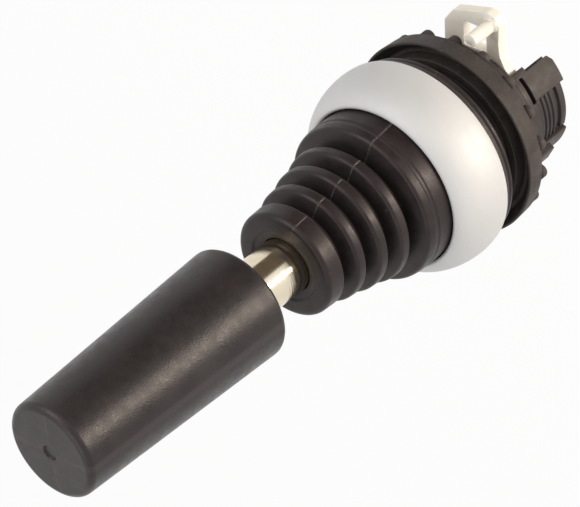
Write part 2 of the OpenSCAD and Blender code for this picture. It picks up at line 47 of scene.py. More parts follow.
# camera, floor and light; lamps and flag are placed by the camera's own directions
studio = {
    "cameraPlace": (0.00077, -0.34043, 0.26192),
    "cameraRight": (-0.62299, -0.44261, -0.64496),
    "cameraUp": (0.78223, -0.35251, -0.51367),
    "lens": 198.6,
    "floorZ": -0.17,
    "floorColor": (0.86, 0.855, 0.85, 1),
    "backdrop": (1.0, 0.999, 0.998, 1),
    "skyStrength": 0.72,
    "lampAim": (0, 0, 0.028),
    "flagAim": (0, 0, 0.060),
    "floorShare": 0.10,
}


def cameraAxes():
    right = Vector(studio["cameraRight"]).normalized()
    up = Vector(studio["cameraUp"])
    up = (up - up.dot(right) * right).normalized()
    return right, up, right.cross(up)


def makeCamera():
    right, up, back = cameraAxes()
    data = bpy.data.cameras.new("camera")
    data.sensor_width = 36
    data.lens = studio["lens"]
    data.clip_start = 0.01
    camera = bpy.data.objects.new("camera", data)
    bpy.context.scene.collection.objects.link(camera)
    turn = Matrix((right, up, back)).transposed().to_4x4()
    camera.matrix_world = Matrix.Translation(studio["cameraPlace"]) @ turn
    bpy.context.scene.camera = camera


def areaLight(name, toRight, toUp, toBack, distance, size, power, color=(1, 1, 1)):
    # a softbox placed by the camera's own directions and aimed at the middle of the part
    right, up, back = cameraAxes()
    aim = Vector(studio["lampAim"])
    way = (right * toRight + up * toUp + back * toBack).normalized()
    data = bpy.data.lights.new(name, "AREA")
    data.shape = "RECTANGLE"
    data.size, data.size_y = size
    data.energy = power
    data.color = color
    light = bpy.data.objects.new(name, data)
    bpy.context.scene.collection.objects.link(light)
    light.visible_camera = False
    light.location = aim + way * distance
    light.rotation_euler = (-way).to_track_quat("-Z", "Y").to_euler()


def darkFlag(name, toRight, toUp, toBack, distance, size):
    # a dark card outside the picture that only reflections see
    right, up, back = cameraAxes()
    way = (right * toRight + up * toUp + back * toBack).normalized()
    bpy.ops.mesh.primitive_plane_add(size=1, location=Vector(studio["flagAim"]) + way * distance)
    card = bpy.context.object
    card.name = name
    card.scale = (*size, 1)
    card.rotation_euler = (-way).to_track_quat("Z", "Y").to_euler()
    card.visible_camera = False
    card.visible_shadow = False
    mat = bpy.data.materials.new(name + "_grey")
    mat.use_nodes = True
    bsdf = mat.node_tree.nodes["Principled BSDF"]
    bsdf.inputs["Base Color"].default_value = (0.13, 0.10, 0.075, 1)
    bsdf.inputs["Roughness"].default_value = 0.9
    card.data.materials.append(mat)


def seenDirectly(tree):
    # one where a camera, mirror or glass ray looks at the backdrop
    path = tree.nodes.new("ShaderNodeLightPath")
    first = tree.nodes.new("ShaderNodeMath")
    first.operation = "MAXIMUM"
    tree.links.new(path.outputs["Is Camera Ray"], first.inputs[0])
    tree.links.new(path.outputs["Is Glossy Ray"], first.inputs[1])
    seen = tree.nodes.new("ShaderNodeMath")
    seen.operation = "MAXIMUM"
    tree.links.new(first.outputs[0], seen.inputs[0])
    tree.links.new(path.outputs["Is Transmission Ray"], seen.inputs[1])
    return seen.outputs[0]


def backdropShader(tree, surface, shadow):
    # what the camera and the mirrors see is the plain backdrop, softly shaded by the real floor
    flat = tree.nodes.new("ShaderNodeEmission")
    flat.inputs["Color"].default_value = studio["backdrop"]
    share = tree.nodes.new("ShaderNodeMixShader")
    share.inputs[0].default_value = 1 - shadow
    tree.links.new(surface, share.inputs[1])
    tree.links.new(flat.outputs[0], share.inputs[2])
    choose = tree.nodes.new("ShaderNodeMixShader")
    tree.links.new(seenDirectly(tree), choose.inputs[0])
    tree.links.new(surface, choose.inputs[1])
    tree.links.new(share.outputs[0], choose.inputs[2])
    return choose.outputs[0]


def makeStage():
    bpy.ops.mesh.primitive_plane_add(size=4, location=(0, 0, studio["floorZ"]))
    floor = bpy.context.object
    floor.name = "floor"
    mat = bpy.data.materials.new("paper_floor")
    mat.use_nodes = True
    tree = mat.node_tree
    bsdf = tree.nodes["Principled BSDF"]
    bsdf.inputs["Base Color"].default_value = studio["floorColor"]
    bsdf.inputs["Roughness"].default_value = 0.9
    out = tree.nodes["Material Output"]
    tree.links.new(backdropShader(tree, bsdf.outputs[0], studio["floorShare"]), out.inputs["Surface"])
    floor.data.materials.append(mat)

    world = bpy.data.worlds.new("studio")
    bpy.context.scene.world = world
    world.use_nodes = True
    tree = world.node_tree
    base = tree.nodes["Background"]
    base.inputs["Color"].default_value = (1, 0.995, 0.985, 1)
    base.inputs["Strength"].default_value = studio["skyStrength"]
    white = tree.nodes.new("ShaderNodeBackground")
    white.inputs["Color"].default_value = studio["backdrop"]
    pick = tree.nodes.new("ShaderNodeMixShader")
    tree.links.new(seenDirectly(tree), pick.inputs[0])
    tree.links.new(base.outputs[0], pick.inputs[1])
    tree.links.new(white.outputs[0], pick.inputs[2])
    tree.links.new(pick.outputs[0], tree.nodes["World Output"].inputs["Surface"])


bpy.context.scene.view_settings.view_transform = "Standard"
makeCamera()
makeStage()
areaLight("rightStrip", 0.907, 0.285, 0.306, 0.27, (0.03, 0.26), 0.85, (1, 0.90, 0.77))
areaLight("leftSoftbox", -0.72, 0.30, 0.62, 0.50, (0.24, 0.30), 0.8, (1, 0.98, 0.95))
areaLight("frontFill", -0.55, -0.60, 0.60, 0.55, (0.30, 0.30), 0.6, (1, 0.985, 0.98))
darkFlag("upperFlag", 0.32, 0.93, 0.20, 0.17, (0.16, 0.11))
print("studio ready")


# materials, with grain and stains from noise in the part's own coordinates
def newMaterial(name, color, roughness, metallic=0.0, **fixed):
    mat = bpy.data.materials.new(name)
    mat.use_nodes = True
    bsdf = mat.node_tree.nodes["Principled BSDF"]
    bsdf.inputs["Base Color"].default_value = (*color, 1)
    bsdf.inputs["Roughness"].default_value = roughness
    bsdf.inputs["Metallic"].default_value = metallic
    for key, value in fixed.items():
        bsdf.inputs[key.replace("_", " ")].default_value = value
    return mat


def noise(tree, scale, detail=3, rough=0.55, stretch=(1, 1, 1)):
    place = tree.nodes.new("ShaderNodeTexCoord")
    mapping = tree.nodes.new("ShaderNodeMapping")
    mapping.inputs["Scale"].default_value = stretch
    texture = tree.nodes.new("ShaderNodeTexNoise")
    texture.inputs["Scale"].default_value = scale
    texture.inputs["Detail"].default_value = detail
    texture.inputs["Roughness"].default_value = rough
    tree.links.new(place.outputs["Object"], mapping.inputs["Vector"])
    tree.links.new(mapping.outputs[0], texture.inputs["Vector"])
    return texture.outputs[0]


def ramp(tree, value, stops):
    node = tree.nodes.new("ShaderNodeValToRGB")
    band = node.color_ramp
    while len(band.elements) < len(stops):
        band.elements.new(0.5)
    for element, (place, color) in zip(band.elements, stops):
        element.position = place
        element.color = (*color, 1) if len(color) == 3 else color
    tree.links.new(value, node.inputs[0])
    return node.outputs[0]


def gray(value):
    return (value, value, value)


def mixColor(tree, factor, first, second):
    node = tree.nodes.new("ShaderNodeMix")
    node.data_type = "RGBA"
    for socket, value in ((node.inputs[0], factor), (node.inputs[6], first), (node.inputs[7], second)):
        if isinstance(value, (int, float, tuple)):
            socket.default_value = value
        else:
            tree.links.new(value, socket)
    return node.outputs[2]


def bump(tree, height, strength, distance, normal=None):
    node = tree.nodes.new("ShaderNodeBump")
    node.inputs["Strength"].default_value = strength
    node.inputs["Distance"].default_value = distance
    tree.links.new(height, node.inputs["Height"])
    if normal is not None:
        tree.links.new(normal, node.inputs["Normal"])
    return node.outputs[0]


def edgeWear(tree, low=0.52, high=0.62):
    # 1 along convex edges, 0 elsewhere
    geometry = tree.nodes.new("ShaderNodeNewGeometry")
    return ramp(tree, geometry.outputs["Pointiness"], [(low, gray(0)), (high, gray(1))])


def mouldedPlastic(name, dark, light, roughness, grainScale, grainDepth, paintedGlint=0.0):
    # spark-eroded moulded plastic: cloudy tone, fine grain, slightly polished edges and, where asked, light
    # dots painted as glints
    mat = newMaterial(name, dark, roughness, Specular_IOR_Level=0.34, Specular_Tint=(1, 0.94, 0.92, 1))
    tree = mat.node_tree
    bsdf = tree.nodes["Principled BSDF"]
    cloud = ramp(tree, noise(tree, 260, 4), [(0.35, dark), (0.68, light)])
    worn = mixColor(tree, edgeWear(tree), cloud, tuple(min(1, c * 1.35) for c in light) + (1,))
    if paintedGlint:
        # painted glints: light grey dots that stand in for the sparkle of the grain
        paintedGlintDots = ramp(tree, noise(tree, grainScale * 0.8, 1, 0.3), [(0.70, gray(0)), (0.76, gray(paintedGlint))])
        worn = mixColor(tree, paintedGlintDots, worn, (0.30, 0.28, 0.27, 1))
    tree.links.new(worn, bsdf.inputs["Base Color"])
    grain = noise(tree, grainScale, 3, 0.6)
    rough = ramp(tree, noise(tree, 700, 2), [(0.3, gray(roughness - 0.07)), (0.7, gray(roughness + 0.07))])
    tree.links.new(rough, bsdf.inputs["Roughness"])
    wave = noise(tree, 120, 2)
    normal = bump(tree, wave, 0.06, 0.0006)
    normal = bump(tree, grain, grainDepth, 0.00012, normal)
    tree.links.new(normal, bsdf.inputs["Normal"])
    return mat


def satinSilver():
    mat = newMaterial("satin_silver", (0.57, 0.56, 0.555), 0.55, 0.30)
    tree = mat.node_tree
    bsdf = tree.nodes["Principled BSDF"]
    tone = ramp(tree, noise(tree, 90, 3), [(0.3, (0.555, 0.55, 0.545)), (0.7, (0.59, 0.585, 0.58))])
    tree.links.new(tone, bsdf.inputs["Base Color"])
    rough = ramp(tree, noise(tree, 900, 3), [(0.3, gray(0.56)), (0.7, gray(0.66))])
    tree.links.new(rough, bsdf.inputs["Roughness"])
    normal = bump(tree, noise(tree, 5200, 2), 0.06, 0.0001)
    tree.links.new(normal, bsdf.inputs["Normal"])
    return mat


def turnedMetal(name, color, dark, roughness, lineScale=3800, lineDepth=0.1):
    # turned and plated metal: fine rings round the axis, faint stain, near-mirror sheen
    mat = newMaterial(name, color, roughness, 1.0)
    tree = mat.node_tree
    bsdf = tree.nodes["Principled BSDF"]
    stain = ramp(tree, noise(tree, 300, 4), [(0.35, dark), (0.65, color)])
    tree.links.new(stain, bsdf.inputs["Base Color"])
    rings = noise(tree, lineScale, 2, 0.5, (0.02, 0.02, 1))
    rough = ramp(tree, rings, [(0.3, gray(roughness * 0.8)), (0.7, gray(roughness * 1.3))])
    tree.links.new(rough, bsdf.inputs["Roughness"])
    normal = bump(tree, rings, lineDepth, 0.00006)
    tree.links.new(normal, bsdf.inputs["Normal"])
    return mat


# the boot's mould parting line: its angle in degrees at one level, its lean in degrees a mm and its height;
# the mask that carries the seam's painted highlight has its width worked out at one radius
seam = {"angle": -63.5, "level": 18.5, "lean": -0.29, "height": 0.07, "maskWidth": 0.20, "maskR": 9.0,
        "profile": ((-0.9, 0), (-0.35, 0.8), (0, 1), (0.35, 0.8), (0.9, 0))}


def seamMask(tree):
    # one along the mould's parting line, which runs up the boot and leans a little
    coordinates = tree.nodes.new("ShaderNodeTexCoord")
    split = tree.nodes.new("ShaderNodeSeparateXYZ")
    tree.links.new(coordinates.outputs["Object"], split.inputs[0])

    def maths(operation, first, second):
        node = tree.nodes.new("ShaderNodeMath")
        node.operation = operation
        for socket, value in zip(node.inputs, (first, second)):
            if isinstance(value, (int, float)):
                socket.default_value = value
            elif value is not None:
                tree.links.new(value, socket)
        return node.outputs[0]

    angle = maths("ARCTAN2", split.outputs["Y"], split.outputs["X"])
    lean = maths("MULTIPLY", split.outputs["Z"], radians(seam["lean"]) / mm)
    home = maths("ADD", lean, radians(seam["angle"] - seam["lean"] * seam["level"]))
    offset = maths("SUBTRACT", angle, home)
    across = maths("MULTIPLY", maths("ABSOLUTE", maths("SINE", offset, None), None), seam["maskR"])
    return maths("LESS_THAN", across, seam["maskWidth"] * 0.5)


def rubberMaterial():
    mat = newMaterial("boot_rubber", (0.012, 0.010, 0.010), 0.42, Specular_IOR_Level=0.3,
                      Specular_Tint=(1, 0.89, 0.87, 1))
    tree = mat.node_tree
    bsdf = tree.nodes["Principled BSDF"]
    tone = ramp(tree, noise(tree, 420, 4), [(0.30, (0.012, 0.0088, 0.0090)), (0.72, (0.022, 0.0165, 0.0165))])
    bloom = ramp(tree, noise(tree, 1500, 5, 0.7), [(0.62, gray(0)), (0.80, gray(0.35))])
    tone = mixColor(tree, bloom, tone, (0.034, 0.030, 0.029, 1))
    specks = ramp(tree, noise(tree, 2300, 2, 0.4), [(0.755, gray(0)), (0.80, gray(0.4))])
    tone = mixColor(tree, specks, tone, (0.26, 0.23, 0.22, 1))
    # painted highlight: a lighter colour along the seam ridge, broken up by noise, stands in for light caught
    # by the mould flash
    seamHighlightBreakup = ramp(tree, noise(tree, 3000, 4, 0.7), [(0.42, gray(0.0)), (0.66, gray(0.55))])
    paintedSeamHighlight = mixColor(tree, seamMask(tree), (0, 0, 0, 1), seamHighlightBreakup)
    tone = mixColor(tree, paintedSeamHighlight, tone, (0.16, 0.145, 0.135, 1))
    tree.links.new(tone, bsdf.inputs["Base Color"])
    rough = ramp(tree, noise(tree, 800, 3), [(0.3, gray(0.34)), (0.7, gray(0.47))])
    tree.links.new(rough, bsdf.inputs["Roughness"])
    normal = bump(tree, noise(tree, 180, 3), 0.10, 0.0005)
    normal = bump(tree, noise(tree, 4200, 3, 0.6), 0.16, 0.00008, normal)
    tree.links.new(normal, bsdf.inputs["Normal"])
    return mat


def naturalPlastic(name, color, shade):
    mat = newMaterial(name, color, 0.42, Subsurface_Weight=0.25, Subsurface_Scale=0.002)
    tree = mat.node_tree
    bsdf = tree.nodes["Principled BSDF"]
    bsdf.inputs["Subsurface Radius"].default_value = (1.0, 0.8, 0.6)
    tone = ramp(tree, noise(tree, 350, 3), [(0.3, shade), (0.7, color)])
    tree.links.new(tone, bsdf.inputs["Base Color"])
    rough = ramp(tree, noise(tree, 900, 2), [(0.3, gray(0.36)), (0.7, gray(0.5))])
    tree.links.new(rough, bsdf.inputs["Roughness"])
    normal = bump(tree, noise(tree, 2600, 2), 0.08, 0.0001)
    tree.links.new(normal, bsdf.inputs["Normal"])
    return mat


finish = {
    "handle": mouldedPlastic("handle_grain", (0.017, 0.0134, 0.0136), (0.024, 0.019, 0.019),
                             0.34, 5200, 0.30),
    # the nut's 0.12 is the strength of its painted glints
    "nut": mouldedPlastic("nut_moulding", (0.026, 0.020, 0.018), (0.044, 0.035, 0.031),
                          0.60, 3600, 0.5, 0.12),
    "housing": mouldedPlastic("housing_moulding", (0.026, 0.020, 0.019), (0.038, 0.030, 0.028),
                              0.50, 3200, 0.25),
    "guide": mouldedPlastic("guide_moulding", (0.022, 0.017, 0.017), (0.034, 0.028, 0.027),
                            0.50, 3000, 0.22),
    "rubber": rubberMaterial(),
    "silver": satinSilver(),
    "sleeve": turnedMetal("nickel_sleeve", (0.84, 0.75, 0.60), (0.76, 0.66, 0.50), 0.15, 6000, 0.3),
    "steel": turnedMetal("machined_steel", (0.58, 0.57, 0.55), (0.46, 0.45, 0.43), 0.32),
    "pin": turnedMetal("ground_pin", (0.70, 0.70, 0.71), (0.60, 0.60, 0.61), 0.20),
    "zinc": turnedMetal("zinc_plate", (0.62, 0.62, 0.60), (0.50, 0.51, 0.50), 0.36),
    "brass": turnedMetal("turned_brass", (0.78, 0.60, 0.30), (0.66, 0.48, 0.22), 0.26),
    "natural": naturalPlastic("natural_plastic", (0.83, 0.79, 0.72), (0.79, 0.74, 0.66)),
    "plunger": naturalPlastic("plunger_plastic", (0.80, 0.77, 0.70), (0.74, 0.70, 0.62)),
}
print("materials ready:", len(finish))


# helpers that make and finish meshes; their lengths are in mm
def addObject(name, mesh):
    piece = bpy.data.objects.new(name, mesh)
    bpy.context.scene.collection.objects.link(piece)
    return piece


def rounded(corners, steps=4):
    # corners are (r, z) or (r, z, fillet radius) round a closed outline
    out = []
    count = len(corners)
    for i, corner in enumerate(corners):
        here = Vector(corner[:2])
        radius = corner[2] if len(corner) > 2 else 0
        before = Vector(corners[i - 1][:2]) - here
        after = Vector(corners[(i + 1) % count][:2]) - here
        if radius <= 0 or before.length < 1e-9 or after.length < 1e-9:
            out.append(here)
            continue
        a, b = before.normalized(), after.normalized()
        half = a.angle(b) / 2
        reach = min(radius / tan(half), before.length * 0.49, after.length * 0.49)
        radius = reach * tan(half)
        centre = here + (a + b).normalized() * (radius / sin(half))
        start = here + a * reach - centre
        end = here + b * reach - centre
        turn = start.angle_signed(end, 0)
        for k in range(steps + 1):
            angle = -turn * k / steps
            c, s = cos(angle), sin(angle)
            out.append(centre + Vector((start.x * c - start.y * s, start.x * s + start.y * c)))
    return [(p.x, p.y) for p in out]


def lathe(name, outline, material, segments=144, start=0, sweep=360, seams=()):
    # turns a closed (r, z) outline in mm round the lever's axis; a part turn gets end caps,
    # and a seam is a fine ridge along the outline at one angle
    full = sweep >= 360
    steps = {start + sweep * k / segments: 0.0 for k in range(segments if full else segments + 1)}
    for ridge in seams:
        for side, share in seam["profile"]:
            steps[ridge + side] = seam["height"] * share
    angles = sorted(steps)
    rings = len(angles)
    segments = rings if full else rings - 1
    bm = bmesh.new()
    grid = []
    for k, degree in enumerate(angles):
        column = []
        for r, z in outline:
            angle = radians(degree + (seam["lean"] * (z - seam["level"]) if seams else 0))
            r += steps[degree]
            if r < 1e-6 and k > 0 and full:
                column.append(grid[0][len(column)])
            else:
                r = max(r, 0)
                column.append(bm.verts.new((r * cos(angle) * mm, r * sin(angle) * mm, z * mm)))
        grid.append(column)
    count = len(outline)
    for k in range(segments):
        here, there = grid[k], grid[(k + 1) % rings]
        for i in range(count):
            j = (i + 1) % count
            loop = []
            for v in (here[i], there[i], there[j], here[j]):
                if v not in loop:
                    loop.append(v)
            if len(loop) > 2:
                bm.faces.new(loop)
    if not full:
        bm.faces.new(list(reversed(grid[0])))
        bm.faces.new(grid[-1])
    return finishMesh(name, bm, material)


def finishMesh(name, bm, material, smooth=True):
    bmesh.ops.remove_doubles(bm, verts=bm.verts, dist=1e-7)
    bmesh.ops.recalc_face_normals(bm, faces=bm.faces)
    mesh = bpy.data.meshes.new(name)
    bm.to_mesh(mesh)
    bm.free()
    mesh.materials.append(material)
    for face in mesh.polygons:
        face.use_smooth = smooth
    return addObject(name, mesh)


def settle(piece, *modifiers):
    # adds the modifiers, keeps their result as a plain mesh and removes them
    for kind, values in modifiers:
        modifier = piece.modifiers.new(kind, kind)
        for key, value in values.items():
            setattr(modifier, key, value)
    depsgraph = bpy.context.evaluated_depsgraph_get()
    mesh = bpy.data.meshes.new_from_object(piece.evaluated_get(depsgraph))
    piece.modifiers.clear()
    piece.data = mesh
    return piece


def softEdges(width, segments=3, angle=35):
    return ("BEVEL", {"width": width * mm, "segments": segments, "limit_method": "ANGLE",
                      "angle_limit": radians(angle), "harden_normals": False})


def evenNormals():
    return ("WEIGHTED_NORMAL", {"keep_sharp": True, "weight": 60})


def place(piece, body, slot, *replaced):
    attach(piece, body)
    if replaced:
        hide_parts(*replaced)
    return piece


def carve(piece, cutters):
    # cuts the cutters out of the piece and removes them
    for cutter in cutters:
        settle(piece, ("BOOLEAN", {"object": cutter, "operation": "DIFFERENCE", "solver": "EXACT"}))
        bpy.data.objects.remove(cutter)
    return piece


def rod(name, r, low, high, material, x=0, y=0, axis="Z", segments=48, chamfer=0):
    # a plain turned rod between two stations on one axis, mostly used as a cutter
    bm = bmesh.new()
    stations = [(low, r), (high, r)]
    if chamfer:
        stations = [(low, r), (high - chamfer, r), (high - chamfer * 0.3, r - chamfer * 0.3),
                    (high, r - chamfer)]
    rings = []
    for level, radius in stations:
        ring = []
        for k in range(segments):
            a = 2 * pi * k / segments
            u, v = radius * cos(a), radius * sin(a)
            spot = {"Z": (x + u, y + v, level), "X": (level, x + u, y + v)}[axis]
            ring.append(bm.verts.new(Vector(spot) * mm))
        rings.append(ring)
    for lower, upper in zip(rings, rings[1:]):
        for k in range(segments):
            j = (k + 1) % segments
            bm.faces.new((lower[k], lower[j], upper[j], upper[k]))
    bm.faces.new(rings[0])
    bm.faces.new(rings[-1])
    return finishMesh(name, bm, material)


def slab(name, outline, low, high, material, holes=(), width=0.0, steps=3):
    # a flat plate from closed (x, y) outlines, with softened edges
    bm = bmesh.new()
    for loop in (outline, *holes):
        verts = [bm.verts.new((x * mm, y * mm, low * mm)) for x, y in loop]
        for i, vert in enumerate(verts):
            bm.edges.new((vert, verts[(i + 1) % len(verts)]))
    bmesh.ops.triangle_fill(bm, edges=bm.edges[:], use_beauty=True, use_dissolve=False)
    flat = bm.faces[:]
    if not holes:
        bmesh.ops.dissolve_faces(bm, faces=flat)
    top = bmesh.ops.extrude_face_region(bm, geom=bm.faces[:])
    lift = [item for item in top["geom"] if isinstance(item, bmesh.types.BMVert)]
    bmesh.ops.translate(bm, verts=lift, vec=(0, 0, (high - low) * mm))
    piece = finishMesh(name, bm, material, smooth=False)
    if width:
        settle(piece, softEdges(width, steps))
    for face in piece.data.polygons:
        face.use_smooth = True
    return piece


def bentPlate(name, outline, rIn, rOut, material, width, stepAngle=3):
    # a plate drawn as (degrees, z), made flat with soft edges, then bent round the axis
    scale = radians(1) * rOut
    flat = [(a * scale, z) for a, z in outline]
    piece = slab(name, flat, 0, rOut - rIn, material, width=width)
    bm = bmesh.new()
    bm.from_mesh(piece.data)
    first = min(a for a, z in outline)
    last = max(a for a, z in outline)
    angle = first + stepAngle
    while angle < last - 0.2:
        bmesh.ops.bisect_plane(bm, geom=bm.verts[:] + bm.edges[:] + bm.faces[:], dist=1e-8,
                               plane_co=(angle * scale * mm, 0, 0), plane_no=(1, 0, 0))
        angle += stepAngle
    for vert in bm.verts:
        turn = radians(vert.co.x / mm / scale)
        r = rIn * mm + vert.co.z
        vert.co = (r * cos(turn), r * sin(turn), vert.co.y)
    bpy.data.objects.remove(piece)
    piece = finishMesh(name, bm, material)
    settle(piece, evenNormals())
    return piece


def threadRidge(name, rootR, crestR, top, bottom, pitch, material, perTurn=72):
    # one start of a screw thread whose crest runs out at both ends; its section is given as
    # distances from the root in mm and from the middle in pitches
    turns = (top - bottom) / pitch
    count = int(turns * perTurn)
    fade = perTurn // 6
    bm = bmesh.new()
    rings = []
    for k in range(count + 1):
        a = 2 * pi * k / perTurn
        z = top - pitch * k / perTurn
        height = (crestR - rootR) * min(1, k / fade, (count - k) / fade)
        ring = []
        for dr, dz in ((-0.15, 0.40), (0, 0.34), (height, 0.10),
                       (height, -0.10), (0, -0.34), (-0.15, -0.40)):
            r = rootR + dr
            ring.append(bm.verts.new((r * cos(a) * mm, r * sin(a) * mm, (z + dz * pitch) * mm)))
        rings.append(ring)
    for lower, upper in zip(rings, rings[1:]):
        for i in range(6):
            j = (i + 1) % 6
            bm.faces.new((lower[i], lower[j], upper[j], upper[i]))
    bm.faces.new(rings[0])
    bm.faces.new(list(reversed(rings[-1])))
    bmesh.ops.recalc_face_normals(bm, faces=bm.faces)
    mesh = bpy.data.meshes.new(name)
    bm.to_mesh(mesh)
    bm.free()
    mesh.materials.append(material)
    for face in mesh.polygons:
        face.use_smooth = True
    return addObject(name, mesh)


def arcPoints(r, start, end, step=4):
    count = max(2, int(abs(end - start) / step))
    return [(r * cos(radians(start + (end - start) * i / count)),
             r * sin(radians(start + (end - start) * i / count))) for i in range(count + 1)]


def turned(points, angle):
    c, s = cos(radians(angle)), sin(radians(angle))
    return [(x * c - y * s, x * s + y * c) for x, y in points]


# the handle, a turned taper with a small sunk disc in its end
handle = {"rearR": 8.1, "endR": 6.85, "rearZ": 39.1, "length": 35, "rearRound": 0.7, "endRound": 1.0,
          "boreR": 4.03, "boreDepth": 16.2, "dimpleR": 1.08, "dimpleDepth": 0.26,
          "dimpleFlare": 0.14, "dimpleCrown": 0.03}


def makeHandle():
    h = handle
    end = h["rearZ"] + h["length"]
    outline = rounded([
        (h["boreR"], h["rearZ"], 0.25),
        (h["rearR"], h["rearZ"], h["rearRound"]),
        (h["endR"], end, h["endRound"]),
        (h["dimpleR"], end, 0.05),
        (h["dimpleR"] - h["dimpleFlare"], end - h["dimpleDepth"], 0.06),
        (0, end - h["dimpleDepth"] + h["dimpleCrown"]),
        (0, h["rearZ"] + h["boreDepth"]),
        (h["boreR"], h["rearZ"] + h["boreDepth"]),
    ], 6)
    piece = lathe("handle", outline, finish["handle"], 180)
    settle(piece, evenNormals())
    place(piece, "lever", "handle_black", "grip")


makeHandle()

# the plated sleeve between handle and boot
sleeve = {"r": 3.9, "boreR": 2.5, "lowZ": 22.1, "highZ": 40.3, "chamfer": 0.25}


def makeSleeve():
    s = sleeve
    outline = rounded([
        (s["boreR"], s["lowZ"]),
        (s["r"], s["lowZ"], s["chamfer"]),
        (s["r"], s["highZ"], s["chamfer"]),
        (s["boreR"], s["highZ"]),
    ])
    piece = lathe("plated_sleeve", outline, finish["sleeve"], 128)
    settle(piece, evenNormals())
    place(piece, "lever", "sleeve_plated", "lever_sleeve")


makeSleeve()
print("handle and sleeve done")

# the satin bezel ring, a dome that rolls over into its opening
bezel = {"bulgeR": 15.0, "tuck": 0.45, "bulgeZ": 4.2, "crestZ": 10.4, "crestR": 12.3, "openR": 11.9,
         "rearZ": 2.0, "boreR": 12.03, "cavityR": 12.65, "lipZ": 9.4, "stepZ": 7.3, "power": 1.3,
         "domeSteps": 40, "flareSteps": 12, "lipSteps": 8, "rearChamfer": 0.12}


def makeBezel():
    b = bezel
    dome = []
    for i in range(b["domeSteps"] + 1):
        t = pi / 2 * i / b["domeSteps"]
        dome.append((b["crestR"] + (b["bulgeR"] - b["crestR"]) * max(cos(t), 0) ** b["power"],
                     b["bulgeZ"] + (b["crestZ"] - b["bulgeZ"]) * sin(t)))
    flare = []
    for i in range(b["flareSteps"]):
        t = pi / 2 * i / b["flareSteps"]
        flare.append((b["bulgeR"] - b["tuck"] * (1 - sin(t)),
                      b["rearZ"] + (b["bulgeZ"] - b["rearZ"]) * (1 - cos(t))))
    lipR = b["crestR"] - b["openR"]
    lip = []
    for i in range(1, b["lipSteps"] + 1):
        t = pi / 2 + pi / 2 * i / b["lipSteps"]
        lip.append((b["crestR"] + lipR * cos(t), b["crestZ"] - lipR + lipR * sin(t)))
    rear, cut = flare[0], b["rearChamfer"]
    flare[0] = (rear[0] - cut, rear[1])
    flare.insert(1, (rear[0], rear[1] + cut))
    outline = [(b["boreR"], b["rearZ"])] + flare + dome + lip + [
        (b["openR"], b["lipZ"]), (b["cavityR"], b["lipZ"]),
        (b["cavityR"], b["stepZ"]), (b["boreR"], b["stepZ"])]
    piece = lathe("bezel_ring", outline, finish["silver"], 192)
    settle(piece, evenNormals())
    place(piece, "housing", "bezel_satin", "bezel")


makeBezel()

# the bellows boot, in two halves
boot = {"neckR": 11.75, "flangeR": 12.5, "flangeZ": 8.4, "lipZ": 9.37, "shoulderR": 11.75,
        "shoulderZ": 13.3, "baseR": 10.1, "topR": 7.8, "pitch": 3.53, "land": 1.45, "headLen": 3.0,
        "valley": 1.8, "folds": 4, "wall": 0.75, "holeR": 3.95,
        "seams": (seam["angle"] + 180, seam["angle"] + 360),
        "headRound": 0.85, "crestRound": 0.58, "rimRound": 0.42, "crestTaper": 0.12,
        "valleyHalf": (0.38, 0.3), "neckStep": 0.13, "splitRun": 0.3}


def foldZ(i):
    return boot["shoulderZ"] + boot["pitch"] * i


def foldR(i):
    b = boot
    return b["shoulderR"] if i == 0 else b["baseR"] - (b["baseR"] - b["topR"]) * (i - 1) / (b["folds"] - 1)


def foldOutline(inset, first, last):
    # crests and valleys from fold first to fold last, each corner with its own fillet
    b = boot
    points = []
    for i in range(first, last + 1):
        z, r = foldZ(i), foldR(i) - inset
        top = z + (b["headLen"] if i == b["folds"] else b["land"])
        crest = b["headRound"] if i == b["folds"] else b["crestRound"]
        points += [(r, z, b["rimRound"]), (r - b["crestTaper"], top, crest)]
        if i < b["folds"]:
            low = foldR(i + 1) - b["valley"] - inset
            middle = (z + b["land"] + foldZ(i + 1)) / 2
            below, above = b["valleyHalf"]
            points += [(low, middle - below, 0.3), (low - 0.05, middle + above, 0.3)]
    return points


